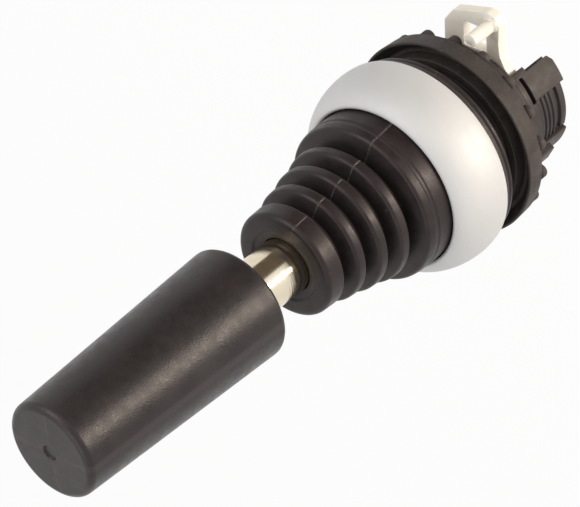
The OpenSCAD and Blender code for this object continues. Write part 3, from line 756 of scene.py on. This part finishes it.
def makeBoot():
    b = boot
    splitZ = (foldZ(0) + b["land"] + foldZ(1)) / 2 - 0.04
    splitOut = foldR(1) - b["valley"]
    face = foldZ(b["folds"]) + b["headLen"]
    splitIn = splitOut - b["wall"]
    ridge, shoulder, neck = foldZ(0), b["shoulderR"], b["neckR"]
    # lower half: clamped flange, neck and shoulder
    lower = [(b["flangeR"], b["flangeZ"], 0.1), (b["flangeR"], b["lipZ"], 0.1), (neck, b["lipZ"]),
             (neck, ridge - 0.75, 0.3), (neck - b["neckStep"], ridge - 0.45, 0.2),
             (shoulder - b["neckStep"], ridge - 0.1, 0.2), (shoulder - 0.02, ridge + 0.2, 0.3),
             (shoulder - 0.22, ridge + b["land"], 0.62),
             (splitOut, splitZ - b["splitRun"], 0.3), (splitOut, splitZ)]
    inside = shoulder - b["wall"] - 0.5
    lower += [(splitIn, splitZ), (splitIn, splitZ - b["splitRun"], 0.3),
              (inside, ridge + b["land"] - 0.6, 0.3), (inside, b["flangeZ"])]
    piece = lathe("boot_lower", rounded(lower, 6), finish["rubber"], 180, seams=b["seams"])
    settle(piece, evenNormals())
    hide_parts("boot")
    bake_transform(piece)
    # upper half: folds and head
    outer = foldOutline(0, 1, b["folds"])
    inner = foldOutline(b["wall"], 1, b["folds"] - 1)
    roof = face - b["wall"] - 0.8
    hole = b["holeR"]
    upper = [(splitOut, splitZ), (splitOut, splitZ + b["splitRun"], 0.3)] + outer
    upper += [(hole + 1.35, face, 0.15), (hole + 1.15, face - 0.22, 0.15), (hole + 0.6, face - 0.3, 0.2),
              (hole, face - 0.5, 0.2), (hole, roof), (b["topR"] - b["valley"] - b["wall"], roof, 0.3)]
    upper += list(reversed(inner))
    upper += [(splitIn, splitZ + b["splitRun"], 0.3), (splitIn, splitZ)]
    piece = lathe("boot_upper", rounded(upper, 6), finish["rubber"], 180, seams=b["seams"])
    settle(piece, evenNormals())
    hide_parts("boot")
    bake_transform(piece)


makeBoot()
print("bezel and boot done")

# the housing, from its neck inside the bezel to the skirt at the rear
housing = {"boreR": 9.0, "neckBoreR": 9.6, "neckR": 12.0, "neckZ": 7.4, "landR": 13.4, "landZ": 2.0,
           "flangeR": 14.2, "flangeLow": 1.0, "flangeTop": 1.75, "barrelR": 11.0, "rootR": 10.6,
           "barrelLow": -9.8, "collarLow": -10.6, "skirtR": 10.1,
           "skirtIn": 9.3, "skirtLow": -17.6, "tongueLow": -18.15,
           "pitch": 1.5, "pinR": 0.93, "pinZ": 3.2, "keyW": 2.6, "keyReach": 12.5,
           "ribAngle": 193, "ribR": 10.9,
           "tongue": (-112.5, -89), "root": (-90.5, -84.4), "wall": (22, 205), "gapTop": -11.9,
           "rootLow": -13.2, "snapZ": -8.4, "guideTop": -4.6, "gimbalLow": 1.5}


def makeHousing():
    h = housing
    black = finish["housing"]
    core = lathe("housing_core", rounded([
        (h["neckBoreR"], h["neckZ"], 0.15), (h["neckR"], h["neckZ"], 0.25), (h["neckR"], h["landZ"], 0.1),
        (h["landR"], h["landZ"], 0.08), (h["landR"], h["flangeTop"], 0.05),
        (h["flangeR"], h["flangeTop"], 0.16), (h["flangeR"], h["flangeLow"], 0.12),
        (h["barrelR"], h["flangeLow"], 0.05), (h["barrelR"], 0.1, 0.05), (h["rootR"], -0.35, 0.1),
        (h["rootR"], h["barrelLow"] + 0.4, 0.05), (h["skirtR"] - 0.04, h["barrelLow"], 0.05),
        (h["skirtR"] - 0.04, h["collarLow"], 0.08), (h["skirtIn"], h["collarLow"], 0.05),
        (h["skirtIn"], h["snapZ"] - 0.25), (h["skirtIn"] + 0.25, h["snapZ"]),
        (h["skirtIn"], h["snapZ"] + 0.25), (h["skirtIn"], h["guideTop"]), (h["boreR"], h["guideTop"]),
        (h["boreR"], h["gimbalLow"]), (h["neckBoreR"], h["gimbalLow"])], 3), black, 160)
    pins = rod("pin_cutter", h["pinR"], -14, 14, black, 0, h["pinZ"], "X")
    carve(core, [pins])
    settle(core, evenNormals())
    place(core, "housing", "housing_black", "housing")

    thread = threadRidge("barrel_thread", h["rootR"], h["barrelR"] - 0.01, -0.9, h["barrelLow"] + 0.9,
                         h["pitch"], black)
    place(thread, "housing", "housing_black", "housing")

    half = h["keyW"] / 2
    key = slab("housing_key", [(-half, 10.3), (half, 10.3), (half, h["keyReach"]), (-half, h["keyReach"])],
               -2.4, 1.3, black, width=0.18)
    rib = slab("housing_rib", turned([(9.7, -half), (h["ribR"], -half), (h["ribR"], half), (9.7, half)],
                                     h["ribAngle"]), -14.2, -9.6, black, width=0.22)
    for piece in (key, rib):
        settle(piece, evenNormals())
        place(piece, "housing", "housing_black", "housing")

    free, held = h["tongue"]
    near, far = h["root"]
    top = h["collarLow"] + 0.35
    tongue = bentPlate("snap_tongue", [
        (h["wall"][1] - 360, top), (far, top), (far, h["rootLow"]), (held, h["rootLow"]),
        (held, h["tongueLow"] + 0.5), (held - 5.2, h["tongueLow"]), (free, h["tongueLow"] + 0.08),
        (free, h["gapTop"]), (near, h["gapTop"]), (near, h["gapTop"] + 0.6), (free - 1, h["gapTop"] + 0.6),
        (free - 1, h["gapTop"]), (h["wall"][1] - 360, h["gapTop"])],
        h["skirtIn"], h["skirtR"], black, 0.12)
    wall = bentPlate("skirt_wall", [
        (h["wall"][0], top), (h["wall"][1], top),
        (h["wall"][1], h["skirtLow"]), (h["wall"][0], h["skirtLow"])],
        h["skirtIn"], h["skirtR"], black, 0.14)
    for piece in (tongue, wall):
        place(piece, "housing", "housing_black", "housing")


makeHousing()

# the panel gasket, notched for the key
gasket = {"inR": 11.05, "outR": 14.0, "top": 1.0, "notchW": 2.9, "notchReach": 12.7}


def makeGasket():
    g = gasket
    ring = lathe("panel_seal", rounded([
        (g["inR"], 0, 0.1), (g["outR"], 0, 0.15), (g["outR"], g["top"] * 0.45, 0.1),
        (g["outR"] - 0.33, g["top"], 0.1), (g["inR"], g["top"], 0.1)], 3), finish["rubber"], 160)
    half = g["notchW"] / 2
    notch = slab("notch_cutter", [(-half, 10), (half, 10), (half, g["notchReach"]), (-half, g["notchReach"])],
                 -1, 2, finish["rubber"])
    carve(ring, [notch])
    settle(ring, evenNormals())
    place(ring, "housing", "boot_rubber", "panel_gasket")


makeGasket()
print("housing and gasket done")

# the ring nut, with its nubs repeated round the rim
nut = {"front": -2.9, "boreR": 11.06, "rimR": 14.7, "rimBackR": 14.5, "rimLow": -5.75, "tailR": 13.4,
       "back": -7.25, "recessIn": 12.3, "recessOut": 14.35, "recess": 1.8,
       "nubR": 1.0, "nubPitchR": 13.45, "nubs": 18,
       "firstAngle": 12}


def repeatAround(name, unit, count, radius, firstAngle, material):
    # Geometry Nodes: instances of one unit on a circle, realised and kept as a plain mesh
    group = bpy.data.node_groups.new(name + "_nodes", "GeometryNodeTree")
    face = group.interface
    face.new_socket("Geometry", in_out="INPUT", socket_type="NodeSocketGeometry")
    entries = {}
    for label, kind in (("Count", "NodeSocketInt"), ("Radius", "NodeSocketFloat"),
                        ("First angle", "NodeSocketFloat"), ("Unit", "NodeSocketObject")):
        entries[label] = face.new_socket(label, in_out="INPUT", socket_type=kind).identifier
    face.new_socket("Geometry", in_out="OUTPUT", socket_type="NodeSocketGeometry")
    make, link = group.nodes.new, group.links.new
    start, end = make("NodeGroupInput"), make("NodeGroupOutput")
    circle = make("GeometryNodeMeshCircle")
    link(start.outputs["Count"], circle.inputs["Vertices"])
    link(start.outputs["Radius"], circle.inputs["Radius"])
    turn = make("ShaderNodeCombineXYZ")
    link(start.outputs["First angle"], turn.inputs["Z"])
    spin = make("GeometryNodeTransform")
    link(circle.outputs[0], spin.inputs["Geometry"])
    link(turn.outputs[0], spin.inputs["Rotation"])
    spot = make("GeometryNodeInputPosition")
    align = make("FunctionNodeAlignEulerToVector")
    align.axis = "X"
    align.pivot_axis = "Z"
    link(spot.outputs[0], align.inputs["Vector"])
    source = make("GeometryNodeObjectInfo")
    link(start.outputs["Unit"], source.inputs["Object"])
    instance = make("GeometryNodeInstanceOnPoints")
    link(spin.outputs[0], instance.inputs["Points"])
    link(source.outputs["Geometry"], instance.inputs["Instance"])
    link(align.outputs[0], instance.inputs["Rotation"])
    real = make("GeometryNodeRealizeInstances")
    link(instance.outputs[0], real.inputs[0])
    paint = make("GeometryNodeSetMaterial")
    paint.inputs["Material"].default_value = material
    link(real.outputs[0], paint.inputs["Geometry"])
    link(paint.outputs[0], end.inputs[0])
    holder = addObject(name, bpy.data.meshes.new(name))
    modifier = holder.modifiers.new("repeat", "NODES")
    modifier.node_group = group
    modifier[entries["Count"]] = count
    modifier[entries["Radius"]] = radius * mm
    modifier[entries["First angle"]] = radians(firstAngle)
    modifier[entries["Unit"]] = unit
    settle(holder)
    bpy.data.objects.remove(unit)
    return holder


def makeNut():
    n = nut
    floor = n["front"] - n["recess"]
    ring = lathe("nut_ring", rounded([
        (n["boreR"], n["front"], 0.15), (n["recessIn"], n["front"], 0.18),
        (n["recessIn"] + 0.2, floor, 0.25), (n["recessOut"] - 1.25, floor, 0.25),
        (n["recessOut"], n["front"], 0.08), (n["rimR"], n["front"], 0.16), (n["rimBackR"], n["rimLow"], 0.14),
        (n["tailR"], n["rimLow"] - 0.05, 0.2), (n["tailR"], n["back"], 0.2),
        (n["boreR"], n["back"], 0.15)], 4),
        finish["nut"], 180)
    settle(ring, evenNormals())
    place(ring, "nut", "nut_black", "ring_nut")
    # one nub, a rounded half-dowel against the rim
    unit = rod("nub_unit", n["nubR"], -n["rimLow"] - 0.2, -n["back"], finish["nut"], chamfer=0.28,
               segments=32)
    unit.data.transform(Matrix.Scale(-1, 4, (0, 0, 1)))
    unit.data.flip_normals()
    nubs = repeatAround("nut_nubs", unit, n["nubs"], n["nubPitchR"], n["firstAngle"], finish["nut"])
    for facet in nubs.data.polygons:
        facet.use_smooth = True
    settle(nubs, evenNormals())
    place(nubs, "nut", "nut_black", "ring_nut")


makeNut()

# the plunger guide and the four return springs
guide = {"top": -4.6, "dishR": 8.3, "dish": -5.0, "r": 9.25, "beadZ": -8.4, "beadR": 9.44, "grooveTop": -10.9,
         "floorR": 7.95, "core": -12.7, "shellIn": 7.5, "low": -18, "rimR": 8.9, "shell": (24, 273),
         "pad": (-154, -113.5), "padR": 9.7, "padTop": -12.2, "pocketR": 2.3, "pocketFloor": -11.6,
         "stemR": 1.15, "pitchR": 4.8, "ribs": 3, "ribPitch": 0.85}


def makeGuide():
    g = guide
    black = finish["guide"]
    core = lathe("guide_core", rounded([
        (0, g["dish"]), (g["dishR"], g["dish"], 0.1), (g["dishR"], g["top"], 0.05), (g["r"], g["top"], 0.15),
        (g["r"], g["beadZ"] + 0.25), (g["beadR"], g["beadZ"]), (g["r"], g["beadZ"] - 0.25),
        (g["r"], g["grooveTop"], 0.06), (g["floorR"], g["grooveTop"], 0.05), (g["floorR"], g["core"], 0.2),
        (0, g["core"])], 3), black, 144)
    cutters = []
    for k in range(4):
        x, y = g["pitchR"] * cos(k * pi / 2), g["pitchR"] * sin(k * pi / 2)
        cutters.append(rod("pocket_cutter", g["pocketR"], g["pocketFloor"], 0, black, x, y))
        cutters.append(rod("stem_cutter", g["stemR"], -20, 0, black, x, y))
    carve(core, cutters)
    settle(core, evenNormals())
    first, last = g["shell"]
    shell = lathe("guide_shell", rounded([
        (g["shellIn"], g["core"] + 0.4), (g["floorR"] - 0.05, g["core"] + 0.4),
        (g["floorR"] - 0.05, g["core"] - 0.01), (g["r"], g["core"] - 0.01, 0.1),
        (g["r"], g["low"] + 1.8, 0.3), (g["rimR"], g["low"], 0.2),
        (g["shellIn"], g["low"], 0.2)], 3), black, 100, first, last - first)
    ribs = []
    for i in range(g["ribs"]):
        z = g["padTop"] - 0.6 - g["ribPitch"] * i
        ribs += [(g["padR"], z, 0.06), (g["padR"] - 0.25, z - 0.12), (g["padR"] - 0.25, z - 0.36),
                 (g["padR"], z - 0.48, 0.06)]
    first, last = g["pad"]
    pad = lathe("guide_pad", rounded([
        (g["shellIn"] + 0.1, g["padTop"]), (g["padR"], g["padTop"], 0.12)] + ribs + [
        (g["padR"], g["low"] + 2.7, 0.1), (g["rimR"], g["low"] + 2.5), (g["rimR"], g["low"] + 1.6),
        (g["padR"] - 0.1, g["low"] + 1.4, 0.12), (g["padR"] - 0.1, g["low"] + 0.3, 0.25),
        (g["padR"] - 0.5, g["low"] + 0.01, 0.1), (g["shellIn"] + 0.1, g["low"] + 0.01)], 3),
        black, 40, first, last - first)
    for piece in (shell, pad):
        settle(piece, softEdges(0.07, 2, 60), evenNormals())
    for piece in (core, shell, pad):
        place(piece, "housing", "guide_black", "plunger_guide")


makeGuide()

spring = {"low": -11.57, "high": -5.48, "meanR": 1.7, "wireR": 0.2, "turns": 5, "flatTurns": 0.8,
          "perTurn": 28, "sides": 8, "flatRise": 0.08}


def makeSpring(name, side, angle):
    s = spring
    x0, y0 = guide["pitchR"] * cos(radians(angle)), guide["pitchR"] * sin(radians(angle))
    free = s["high"] - s["low"] - 2 * s["wireR"]
    count = int(s["turns"] * s["perTurn"])
    flat, rise = s["flatTurns"], s["flatRise"]
    openTurns = s["turns"] - 2 * flat
    bm = bmesh.new()
    rings = []
    for k in range(count + 1):
        t = k / s["perTurn"]
        # the end coils lie nearly flat and the coils between them open out
        share = (1 - 2 * rise) * min(max(t - flat, 0), openTurns) / openTurns
        share += rise * min(t / flat, 1)
        share += rise * min(max(t - s["turns"] + flat, 0) / flat, 1)
        z = s["low"] + s["wireR"] + free * share
        a = 2 * pi * t
        ring = []
        for i in range(s["sides"]):
            b = 2 * pi * i / s["sides"]
            r = s["meanR"] + s["wireR"] * cos(b)
            ring.append(bm.verts.new(((x0 + r * cos(a)) * mm, (y0 + r * sin(a)) * mm,
                                      (z + s["wireR"] * sin(b)) * mm)))
        rings.append(ring)
    for lower, upper in zip(rings, rings[1:]):
        for i in range(s["sides"]):
            j = (i + 1) % s["sides"]
            bm.faces.new((lower[i], lower[j], upper[j], upper[i]))
    bm.faces.new(rings[0])
    bm.faces.new(list(reversed(rings[-1])))
    piece = finishMesh(name, bm, finish["pin"])
    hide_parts("spring_" + side)
    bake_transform(piece)


for side, angle in (("east", 0), ("north", 90), ("west", 180), ("south", 270)):
    makeSpring("coil_" + side, side, angle)
print("nut, guide and springs done")

# the locking ring, with its thumb tab, window and peg
# the tab and its window are drawn along +X and turned to the tab's angle afterwards
latch = {"front": -11.0, "back": -12.6, "boreR": 8.0, "outR": 9.15, "tabAngle": -50, "from": -84,
         "to": 168, "pegX": 14.95, "pegY": -2.25, "pegR": 0.95, "pegFront": -6.5,
         "sweptR": 14.5, "sweptZ": -7.47, "edge": 0.16,
         "tab": ((7.6, -5.1), (8.7, -4.4, 1.2), (10.3, -3.62, 2.0), (12.2, -3.45, 2.0), (15.2, -3.62, 0.8),
                 (16.3, -2.9, 0.6), (16.6, -1.6, 0.9), (14.9, 4.1, 0.8), (12.8, 5.6, 0.6), (7.4, 5.6)),
         "tabFoot": (-35, 38.5),
         "window": ((10.0, -1.45, 0.3), (13.9, -1.45, 0.3), (13.9, 2.4, 0.3), (10.0, 2.4, 0.3))}


def makeLatch():
    c = latch
    start, end = c["from"] - c["tabAngle"], c["to"] - c["tabAngle"]
    near, far = c["tabFoot"]
    outline = arcPoints(c["outR"], start, near)
    outline += rounded(c["tab"], 5)[1:-1]
    outline += arcPoints(c["outR"], far, end)
    outline += arcPoints(c["boreR"], end, start)
    window = rounded(c["window"], 3)
    plate = slab("latch_plate", turned(outline, c["tabAngle"]), c["back"], c["front"], finish["natural"],
                 [turned(window, c["tabAngle"])], c["edge"], 3)
    settle(plate, evenNormals())
    x, y = turned([(c["pegX"], c["pegY"])], c["tabAngle"])[0]
    peg = rod("latch_peg", c["pegR"], c["back"] + 0.5, c["pegFront"], finish["natural"], x, y,
              chamfer=0.12)
    r, z = c["pegR"], c["front"]
    foot = lathe("latch_peg_foot", rounded([
        (0, z - 0.4), (r + 0.35, z - 0.4), (r + 0.3, z + 0.02), (r, z + 0.5, 0.5), (0, z + 0.5)], 5),
        finish["natural"], 48)
    foot.data.transform(Matrix.Translation((x * mm, y * mm, 0)))
    swept = rod("swept_cutter", c["sweptR"], c["sweptZ"], 0, finish["natural"], segments=160)
    carve(peg, [swept])
    settle(peg, evenNormals())
    for piece in (plate, peg, foot):
        place(piece, "lock", "latch_natural", "locking_ring")


makeLatch()
print("locking ring done")

# solids that keep their packed form get a finish from the same set
cadMaterials = {
    "grip_insert": "brass", "lever_rod": "steel", "pivot_hub": "steel", "cross_shaft": "pin",
    "actuator_plate": "guide", "plate_screw": "pin", "gimbal_ring": "steel", "gimbal_pins": "pin",
    "gate_plate": "zinc", "plunger_east": "plunger", "plunger_west": "plunger",
    "plunger_north": "plunger", "plunger_south": "plunger",
}
for name, key in cadMaterials.items():
    for slot in nodes[name].material_slots:
        slot.material = finish[key]
